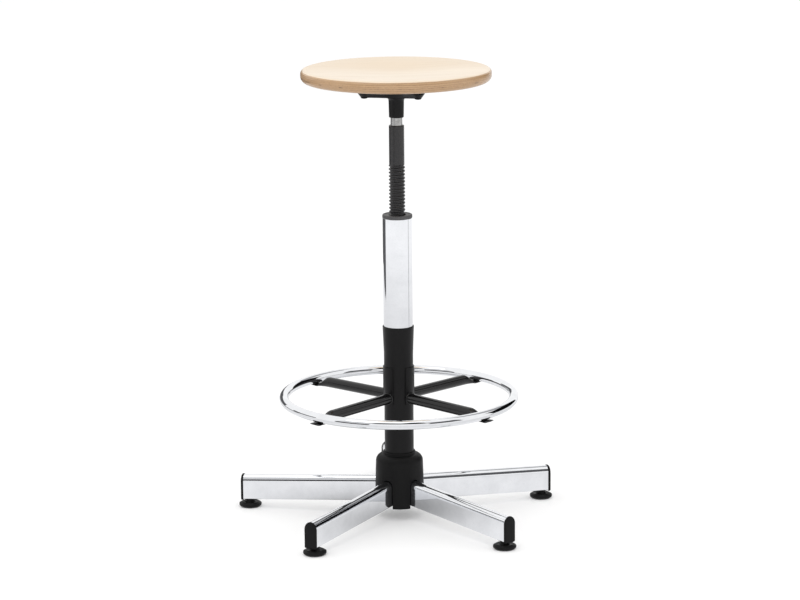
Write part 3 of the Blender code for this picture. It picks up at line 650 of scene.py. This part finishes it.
def foot_ring_mesh():
    """Bent tube with the slight swelling of its dressed butt weld."""
    around, sides = 288, 32
    weld_angle, weld_width, weld_height = radians(-112), 0.012, 0.00012
    shape = bmesh.new()
    rings = []
    for i in range(around):
        angle = 2 * pi * i / around
        away = abs((angle - weld_angle + pi) % (2 * pi) - pi)
        tube = RING_TUBE + weld_height * smooth_step(1 - away / weld_width)
        ring = []
        for k in range(sides):
            turn = 2 * pi * k / sides
            point = polar(RING_RADIUS + tube * cos(turn), angle, RING_HEIGHT + tube * sin(turn))
            ring.append(shape.verts.new(point))
        rings.append(ring)
    skin(shape, rings, closed=True)
    return to_mesh("foot_ring_detail", shape)


def spoke_mesh():
    """Tube with its end coped to the column, a weld bead there, and a flattened tip under the ring."""
    sides = 32
    tip_half, tip_flat = 0.0125, 0.0016
    tip_height = RING_LOW.z - GAP - tip_flat
    root_height = RING_HEIGHT + 0.0002
    column = LOWER_RADIUS + GAP + SHELL_THICKNESS + 0.0002
    tip_end = RING_RADIUS + 0.0097
    flatten_start, flatten_end = 0.175, 0.202
    lean = 0.0023 / (flatten_start - column)          # the tube falls this much before it is flattened

    def section(x, coped=False):
        flat = smooth_step((x - flatten_start) / (flatten_end - flatten_start))
        width = SPOKE_RADIUS + (tip_half - SPOKE_RADIUS) * flat
        height = SPOKE_RADIUS + (tip_flat - SPOKE_RADIUS) * flat
        middle = root_height - lean * (min(x, flatten_start) - column)
        middle += (tip_height - middle) * flat
        points = []
        for k in range(sides):
            y, z = width * cos(2 * pi * k / sides), height * sin(2 * pi * k / sides)
            start = sqrt(column * column - y * y) if coped else x
            points.append(Vector((start, y, middle + z)))
        return points

    first, last, steps = 0.032, tip_end - 0.0010, 44
    stations = [first + (last - first) * i / steps for i in range(steps + 1)]
    rounded_end = [Vector((tip_end, point.y * 0.93, tip_height + (point.z - tip_height) * 0.75))
                   for point in section(last)]
    shape = bmesh.new()
    lofted(shape, [section(column, coped=True)] + [section(x) for x in stations] + [rounded_end])

    bead, ripples, ring_points, bead_sides = 0.0016, 26, 78, 8
    root = section(column, coped=True)
    sections = []
    for k in range(ring_points):
        angle = 2 * pi * k / ring_points
        y, z = SPOKE_RADIUS * cos(angle), SPOKE_RADIUS * sin(angle)
        swell = bead * (1 + 0.16 * sin(ripples * angle))
        centre = Vector((sqrt(column * column - y * y), y, root[0].z + z))
        outward = Vector((0, cos(angle), sin(angle)))
        around_bead = (polar(swell, 2 * pi * j / bead_sides) for j in range(bead_sides))
        sections.append([centre + outward * point.x + Vector((point.y, 0, 0)) for point in around_bead])
    lofted(shape, sections, closed=True)
    return to_mesh("spoke_detail", shape)


def shell_mesh():
    """Half sleeve pressed from sheet, with eased edges."""
    inner = LOWER_RADIUS + GAP
    outer = inner + SHELL_THICKNESS
    outline = rounded([(inner, SHELL_BOTTOM, 0.0003), (outer, SHELL_BOTTOM, 0.0008),
                       (outer, SHELL_TOP, 0.0008), (inner, SHELL_TOP, 0.0003)], closed=True, steps=3)
    outline = supported(outline, closed=True)
    steps = 36
    edge = 0.0007 / outer
    angles = [-SHELL_HALF_ANGLE + edge] + [SHELL_HALF_ANGLE * (2 * i / steps - 1) for i in range(1, steps)]
    angles += [SHELL_HALF_ANGLE - edge]
    middle = (inner + outer) / 2
    thin = [(middle + (radius - middle) * 0.35, height) for radius, height in outline]
    sections = [[polar(radius, -SHELL_HALF_ANGLE, height) for radius, height in thin]]
    sections += [[polar(radius, angle, height) for radius, height in outline] for angle in angles]
    sections += [[polar(radius, SHELL_HALF_ANGLE, height) for radius, height in thin]]
    shape = bmesh.new()
    lofted(shape, sections)
    return to_mesh("ring_shell_detail", shape)


def socket_screw_mesh(name, radius, head_radius, head_height, length):
    """Screw pointing up, with a domed head and a hexagon socket in it."""
    dome = [(head_radius * cos(a), -head_height * (0.35 + 0.65 * sin(a)))
            for a in (0, 0.25, 0.5, 0.75, 1.0, 1.2)]
    key, depth = head_radius * 0.42, head_height * 0.55
    sides = 48
    hexagon = pi / 3
    shape = bmesh.new()
    rings = []
    levels = [(length, radius * 0.7, False), (length - 0.0006, radius, False), (0, radius, False),
              (0, head_radius - 0.0003, False)]
    levels += [(height, ring_radius, False) for ring_radius, height in dome]
    levels += [(-head_height, key * 1.15, False), (-head_height, key, True),
               (-head_height + depth, key, True)]
    for height, ring_radius, has_flats in levels:
        ring = []
        for i in range(sides):
            angle = 2 * pi * i / sides
            flat = cos(pi / 6) / cos(angle % hexagon - pi / 6) if has_flats else 1.0
            ring.append(shape.verts.new(polar(ring_radius * flat, angle, height)))
        rings.append(ring)
    skin(shape, rings)
    return to_mesh(name, shape, 32)


def add_screw(node, kind, head, finish, turn):
    """Places one of the socket screws of a kind, which share a mesh, where the frame has its node."""
    low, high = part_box(node)
    screw = bpy.data.meshes.get(f"{kind}_detail") or socket_screw_mesh(
        f"{kind}_detail", SCREW_RADIUS, (high.x - low.x) / 2, head, high.z - low.z - head)
    centre = (low + high) / 2 - AXIS
    add_piece(f"{node}_detail", screw, finish, node, turn, (centre.x, centre.y, low.z + head))


def build_foot_ring(finishes):
    add_piece("foot_ring_detail", foot_ring_mesh(), finishes["chrome"], "foot_ring")
    spoke, shell = spoke_mesh(), shell_mesh()
    for i, side in enumerate(("back_right", "back_left", "front_left", "front_right")):
        turn = RING_TURN + i * pi / 2
        add_piece(f"spoke_{side}_detail", spoke, finishes["gloss"], f"spoke_{side}", turn)
        add_screw(f"ring_screw_{side}", "ring_screw", RING_SCREW_HEAD, finishes["paint"], turn)
    add_piece("ring_shell_right_detail", shell, finishes["paint"], "ring_shell_right", RING_TURN - pi / 4)
    add_piece("ring_shell_left_detail", shell, finishes["paint"], "ring_shell_left", RING_TURN + pi * 3 / 4)


# ---------------------------------------------------------------- what turns with the seat


def spindle_radius(height, angle):
    """Surface of the painted spindle below its shoulder: a rolled thread that runs out into a plain shank."""
    along = (height - THREAD_PHASE) / LEAD - angle / (2 * pi)
    ridge = smooth_step((0.5 + 0.5 * cos(2 * pi * along) - 0.12) / 0.76)
    depth = smooth_step((height - THREAD_BOTTOM) / LEAD)
    threaded = THREAD_ROOT + (SPINDLE_CREST - THREAD_ROOT) * ridge * depth
    shank = smooth_step((height - THREAD_TOP + 0.0035) / 0.0030)
    return threaded + (SHANK_RADIUS - threaded) * shank


def spindle_mesh():
    sides, pitch_steps = 48, 16
    count = round((THREAD_TOP - THREAD_BOTTOM) / LEAD * pitch_steps)
    heights = [THREAD_BOTTOM + (THREAD_TOP + 0.0006 - THREAD_BOTTOM) * i / count for i in range(count + 1)]
    shape = bmesh.new()
    bore, bore_top = 0.0033, PIN_BOTTOM + 0.0145
    rings = [[shape.verts.new((0, 0, bore_top))]]

    def plain(radius, height):
        rings.append([shape.verts.new(polar(radius, 2 * pi * k / sides, height)) for k in range(sides)])

    for radius, height in ((bore, bore_top), (bore, PIN_BOTTOM), (PIN_RADIUS - 0.0005, PIN_BOTTOM),
                           (PIN_RADIUS, PIN_BOTTOM + 0.0005), (PIN_RADIUS, THREAD_BOTTOM - 0.0001)):
        plain(radius, height)
    turns = [2 * pi * k / sides for k in range(sides)]
    for height in heights:
        rings.append([shape.verts.new(polar(spindle_radius(height, turn), turn, height)) for turn in turns])
    recess = TAPER_RADIUS + 0.0001
    shoulder = rounded([(SHANK_RADIUS, THREAD_TOP + 0.002, 0), (SHANK_RADIUS, SHANK_TOP, 0.0016),
                        (recess, SHANK_TOP, 0), (recess, SHANK_TOP - 0.002, 0)])
    for radius, height in supported(shoulder):
        plain(radius, height)
    skin(shape, rings)
    return to_mesh("spindle_detail", shape, 50)


def taper_mesh():
    """Bare tapered end of the spindle, from its shoulder up into the socket."""
    corners = [(0, SHANK_TOP - 0.0015, 0), (TAPER_RADIUS, SHANK_TOP - 0.0015, 0),
               (TAPER_TIP_RADIUS, SPINDLE_TOP, 0.0008), (0, SPINDLE_TOP, 0)]
    return turned_mesh("spindle_taper_detail", corners)


def taper_socket_mesh():
    lean = (TAPER_RADIUS - TAPER_TIP_RADIUS) / (SPINDLE_TOP - SHANK_TOP)
    bore_bottom = TAPER_RADIUS - lean * (SOCKET_BOTTOM - SHANK_TOP) + GAP
    bore_top = TAPER_RADIUS - lean * (SOCKET_TOP - SHANK_TOP) + GAP
    under = SPIDER_BOTTOM - GAP
    corners = [(bore_bottom, SOCKET_BOTTOM, 0.0004), (SOCKET_FOOT, SOCKET_BOTTOM, 0.0014),
               (SOCKET_RADIUS, under - 0.0045, 0.0060), (SOCKET_FLANGE, under, 0.0004),
               (SOCKET_NECK, under, 0), (SOCKET_NECK, SOCKET_TOP, 0), (bore_top, SOCKET_TOP, 0)]
    return turned_mesh("taper_socket_detail", corners, ROUND_SIDES, closed=True)


def spider_outline(inset):
    """Plan of the four-armed spider: rounded arm ends and curved webs between the arms."""
    half = SPIDER_HALF_WIDTH - inset
    web = SPIDER_WEB + inset
    corner = SPIDER_HALF_WIDTH + SPIDER_WEB
    tip = [Vector((SCREW_CIRCLE + half * cos(a), half * sin(a)))
           for a in (pi * (i / 16 - 0.5) for i in range(17))]
    inner = [Vector((corner + web * cos(a), corner + web * sin(a)))
             for a in (-pi / 2 - pi / 2 * i / 12 for i in range(13))]
    points = []
    for i in range(4):
        turn = Matrix.Rotation(i * pi / 2, 2)
        points += [turn @ point for point in supported(tip + inner)]
    return points


def spider_sag(point):
    """How far the spider's underside hangs below its arms' ends at a point of its plan."""
    reach = SCREW_CIRCLE + SPIDER_HALF_WIDTH - SPIDER_BEVEL
    share = (reach - point.length) / (reach - SPIDER_CENTRE)
    return max(share, 0.0) * (SPIDER_TIP_BOTTOM - SPIDER_BOTTOM)


def seat_spider_mesh():
    """Forged plate: bevelled arms that get deeper towards a round centre, with flat seats for the screws."""
    bevel_top = SPIDER_TIP_BOTTOM + SPIDER_BEVEL_HEIGHT
    shape = bmesh.new()
    sections = []
    for z, inset in ((SPIDER_TOP, 0.0006), (SPIDER_TOP - 0.0006, 0.0), (bevel_top + 0.0010, 0.0),
                     (bevel_top - 0.0004, 0.0004)):
        sections.append([(point.x, point.y, z) for point in spider_outline(inset)])
    for rise, inset in ((0.0012, SPIDER_BEVEL - 0.0009), (0.0004, SPIDER_BEVEL - 0.0001),
                        (0.0, SPIDER_BEVEL + 0.0009)):
        bottom = SPIDER_TIP_BOTTOM + rise
        sections.append([(point.x, point.y, bottom - spider_sag(point)) for point in spider_outline(inset)])
    edge = spider_outline(SPIDER_BEVEL + 0.0009)
    for share in (0.25, 0.5, 0.75, 1.0):
        ring = [point.lerp(point.normalized() * SPIDER_CENTRE, share) for point in edge]
        sections.append([(point.x, point.y, SPIDER_TIP_BOTTOM - spider_sag(point)) for point in ring])
    lofted(shape, sections)
    plate = loose(to_mesh("seat_spider_detail", shape))

    seats = bmesh.new()
    seat = 0.0067
    for i in range(4):
        corners = [(0, SPIDER_BOTTOM - 0.01), (seat, SPIDER_BOTTOM - 0.01), (seat, SPIDER_TIP_BOTTOM),
                   (0, SPIDER_TIP_BOTTOM)]
        first = len(seats.verts)
        turned(seats, corners, 40)
        bmesh.ops.translate(seats, verts=list(seats.verts)[first:], vec=polar(SCREW_CIRCLE, i * pi / 2))
    boolean(plate, loose(to_mesh("screw_seats", seats)), "DIFFERENCE")
    mesh = plate.data
    mesh.shade_smooth()
    mesh.set_sharp_from_angle(angle=radians(34))
    bpy.data.objects.remove(plate, do_unlink=True)
    return mesh


def seat_board_mesh():
    """Round moulded plywood board with a shallow dish, a bull-nosed top edge and a softer lower edge."""
    steps = 30
    dish = [(SEAT_RIM * i / steps, SEAT_TOP - SEAT_DISH * (0.5 + 0.5 * cos(pi * i / steps)))
            for i in range(steps + 1)]
    edge = rounded([(SEAT_RIM, SEAT_TOP, 0), (SEAT_RADIUS, SEAT_TOP, SEAT_TOP_ROUND),
                    (SEAT_RADIUS, SEAT_BOTTOM, SEAT_BOTTOM_ROUND), (0, SEAT_BOTTOM, 0)], steps=12)
    shape = bmesh.new()
    turned(shape, dish + supported(edge[1:], support=0.001), 160)
    return to_mesh("seat_board_detail", shape)


def build_seat(finishes):
    add_piece("seat_board_detail", seat_board_mesh(), finishes["veneer"], "seat_board")
    add_piece("seat_spider_detail", seat_spider_mesh(), finishes["paint"], "seat_spider", SPIDER_TURN)
    add_piece("taper_socket_detail", taper_socket_mesh(), finishes["paint"], "taper_socket")
    add_piece("spindle_detail", spindle_mesh(), finishes["screw"], "spindle")

    taper = bpy.data.objects.new("spindle_taper_detail", taper_mesh())
    taper.data.materials.append(finishes["steel"])
    taper.location = AXIS
    bpy.context.scene.collection.objects.link(taper)
    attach(taper, BODY_OF["spindle"])

    for i in range(4):
        add_screw(f"seat_screw_{i + 1}", "seat_screw", SEAT_SCREW_HEAD, finishes["paint"], 0.7 * i)


def finish_hidden_nodes(finishes):
    """Gives the CAD nodes that stay as they are the finish of their slot."""
    by_slot = {"chrome": "chrome", "steel": "steel", "black_paint": "paint", "black_plastic": "plastic",
               "plywood": "veneer"}
    for name, node in frame["nodes"].items():
        if not node.hide_render:
            node.data.materials.clear()
            node.data.materials.append(finishes[by_slot[SLOT_OF[name]]])


# ---------------------------------------------------------------- studio and camera


def around(distance, azimuth, height=0.0):
    """Point about the column's axis. Azimuths are degrees from the viewer's side, positive to the right."""
    turn = VIEW_HEADING + radians(azimuth) - pi / 2
    return AXIS + polar(distance, turn, height)


def reflected_only(name, shape, colour):
    """Glowing or black surface that shows only in reflections, a painted reflection of a studio's flags and its
    dark room.
    """
    made = loose(to_mesh(name, shape))
    finish = Finish(name, (0, 0, 0), 1.0)
    finish.shader.inputs["Specular IOR Level"].default_value = 0.0
    finish.shader.inputs["Emission Color"].default_value = (*colour, 1)
    finish.shader.inputs["Emission Strength"].default_value = 1.0
    made.data.materials.append(finish.material)
    made.visible_camera = made.visible_diffuse = made.visible_shadow = False
    return finish


def painted_floor_reflection():
    """Glowing disc seen only in polished metal, a painted reflection of the white floor with painted shade:
    dull near the stool and brightest two metres away.
    """
    reach, height = 3.4, 0.0012
    shape = bmesh.new()
    bmesh.ops.create_circle(shape, cap_ends=True, segments=96, radius=reach,
                            matrix=Matrix.Translation(AXIS + Vector((0, 0, height))))
    finish = reflected_only("floor_reflection_painted_shade", shape, (1, 1, 1))
    away = finish.add("ShaderNodeVectorMath", operation="DISTANCE")
    finish.feed(away.inputs[0], finish.place)
    away.inputs[1].default_value = AXIS + Vector((-0.05, 0.02, 0))
    ramp = finish.add("ShaderNodeValToRGB")
    # Painted brightness at each distance from the place of deepest painted shade, in metres
    stops = ((0.0, 0.28), (0.06, 0.32), (0.11, 0.50), (0.17, 0.76), (0.25, 0.93), (0.34, 0.95),
             (0.48, 0.87), (1.0, 0.86), (1.5, 0.87), (2.0, 0.96), (2.5, 1.06), (reach, 1.05))
    points = ramp.color_ramp.elements
    while len(points) < len(stops):
        points.new(0.5)
    for point, (distance, level) in zip(points, stops):
        point.position = distance / reach
        point.color = (level, level, level * 1.01, 1)
    finish.feed(ramp.inputs[0], finish.maths("DIVIDE", away.outputs["Value"], reach))
    finish.set("Emission Color", ramp.outputs[0])


def wall(name, start, end, low, high, colour, distance=6.0):
    """Upright curved wall, a painted reflection, between two azimuths, low and high given as angles above the
    horizon in degrees.
    """
    steps = max(2, round(abs(end - start) / 5))
    shape = bmesh.new()
    rows = []
    for i in range(steps + 1):
        azimuth = start + (end - start) * i / steps
        rows.append([shape.verts.new(around(distance, azimuth, distance * tan(radians(angle))))
                     for angle in (low, high)])
    for first, second in zip(rows, rows[1:]):
        shape.faces.new([first[0], second[0], second[1], first[1]])
    reflected_only(name, shape, colour)


def patch(name, corners, colour):
    """Flat area just above the floor that shows only in reflections, a painted reflection, from corners
    (distance, azimuth).
    """
    shape = bmesh.new()
    shape.faces.new([shape.verts.new(around(distance, azimuth, 0.002)) for distance, azimuth in corners])
    reflected_only(name, shape, colour)


def build_studio():
    world = bpy.data.worlds.new("studio")
    world.use_nodes = True
    world.node_tree.nodes["Background"].inputs["Color"].default_value = (1, 1, 1, 1)
    world.node_tree.nodes["Background"].inputs["Strength"].default_value = 1.05
    bpy.context.scene.world = world

    shape = bmesh.new()
    bmesh.ops.create_grid(shape, x_segments=1, y_segments=1, size=30)
    floor = loose(to_mesh("studio_floor", shape))
    finish = Finish("pale_floor", (0.80, 0.80, 0.80), 0.9)
    finish.shader.inputs["Specular IOR Level"].default_value = 0.1
    finish.shader.inputs["Emission Color"].default_value = (1, 1, 1, 1)
    finish.shader.inputs["Emission Strength"].default_value = 0.19
    floor.data.materials.append(finish.material)

    key = bpy.data.objects.new("overhead_softbox", bpy.data.lights.new("overhead_softbox", "AREA"))
    key.data.shape = "RECTANGLE"
    key.data.size, key.data.size_y = 2.4, 1.8
    key.data.energy = 14
    key.location = (-0.6, -0.9, 2.9)
    key.rotation_euler = (Vector((0, 0, 0.2)) - key.location).to_track_quat("-Z", "Y").to_euler()
    bpy.context.scene.collection.objects.link(key)

    black, dark, dim = (0.004, 0.004, 0.005), (0.11, 0.11, 0.115), (0.40, 0.40, 0.41)
    grey, pale = (0.32, 0.32, 0.33), (0.66, 0.66, 0.67)
    # Painted reflections of the room round the white floor, in dark, dim and pale stretches (degrees round,
    # degrees up)
    painted_floor_reflection()
    wall("room_front_left", -62, -28, -2.0, 17.0, black)
    wall("room_front_left_high", -62, -28, 17.0, 62.0, pale)
    wall("room_front", -28, 29, -2.0, 4.0, pale)
    wall("room_front_high", -28, 29, 30.0, 76.0, black)
    wall("room_front_right_high", 29, 62, 10.0, 42.0, dark)
    wall("room_right_high", 120, 158, 33.0, 62.0, dim)
    wall("room_left", -118, -84, -2.0, 12.0, dark)
    wall("room_right_back", 98, 146, -2.0, 33.0, black)
    wall("room_back_left", -172, -136, -2.0, 16.0, dark)
    # Painted reflections of a dark floor behind on the left, and of a narrow strip on the right (metres away,
    # degrees round)
    patch("floor_left", [(1.90, -106), (2.30, -145), (2.62, -180),
                         (9.0, -180), (12.0, -145), (9.0, -106)], dark)
    patch("floor_right", [(1.2, 91.5), (1.2, 95.5), (3.4, 95.5), (3.4, 91.5)], grey)


def build_camera():
    """Camera well above the seat, looking slightly down, a few degrees round from the stool's front."""
    distance, height = 5.3444, 1.5641
    heading, pitch, roll = radians(-4.315), radians(12.265), radians(-0.493)
    place = AXIS + Matrix.Rotation(VIEW_HEADING, 3, "Z") @ Vector((0.0003, -distance, 0))
    place.z = height
    data = bpy.data.cameras.new("camera")
    data.lens = 136.53
    data.sensor_width = 36.0
    camera = bpy.data.objects.new("camera", data)
    turn = Matrix.Rotation(heading, 4, "Z") @ Matrix.Rotation(pi / 2 - pitch, 4, "X")
    camera.matrix_world = Matrix.Translation(place) @ turn @ Matrix.Rotation(roll, 4, "Z")
    bpy.context.scene.collection.objects.link(camera)
    bpy.context.scene.camera = camera


finishes = {
    "chrome": chrome_finish(),
    "steel": steel_finish(),
    "paint": paint_finish("black_powder_coat", 0.34, 0.20, 0.0042),
    "gloss": paint_finish("black_gloss_coat", 0.16, 0.40, 0.0040),
    "screw": paint_finish("black_oxide_steel", 0.27, 0.50, 0.0150),
    "plastic": plastic_finish("moulded_black", 0.0045, 0.16),
    "cap": plastic_finish("moulded_grey_black", 0.0560, 0.55),
    "veneer": veneer_finish(),
}
build_base(finishes)
build_column(finishes)
build_foot_ring(finishes)
build_seat(finishes)
finish_hidden_nodes(finishes)
build_studio()
build_camera()
bpy.context.scene.view_settings.view_transform = "Standard"
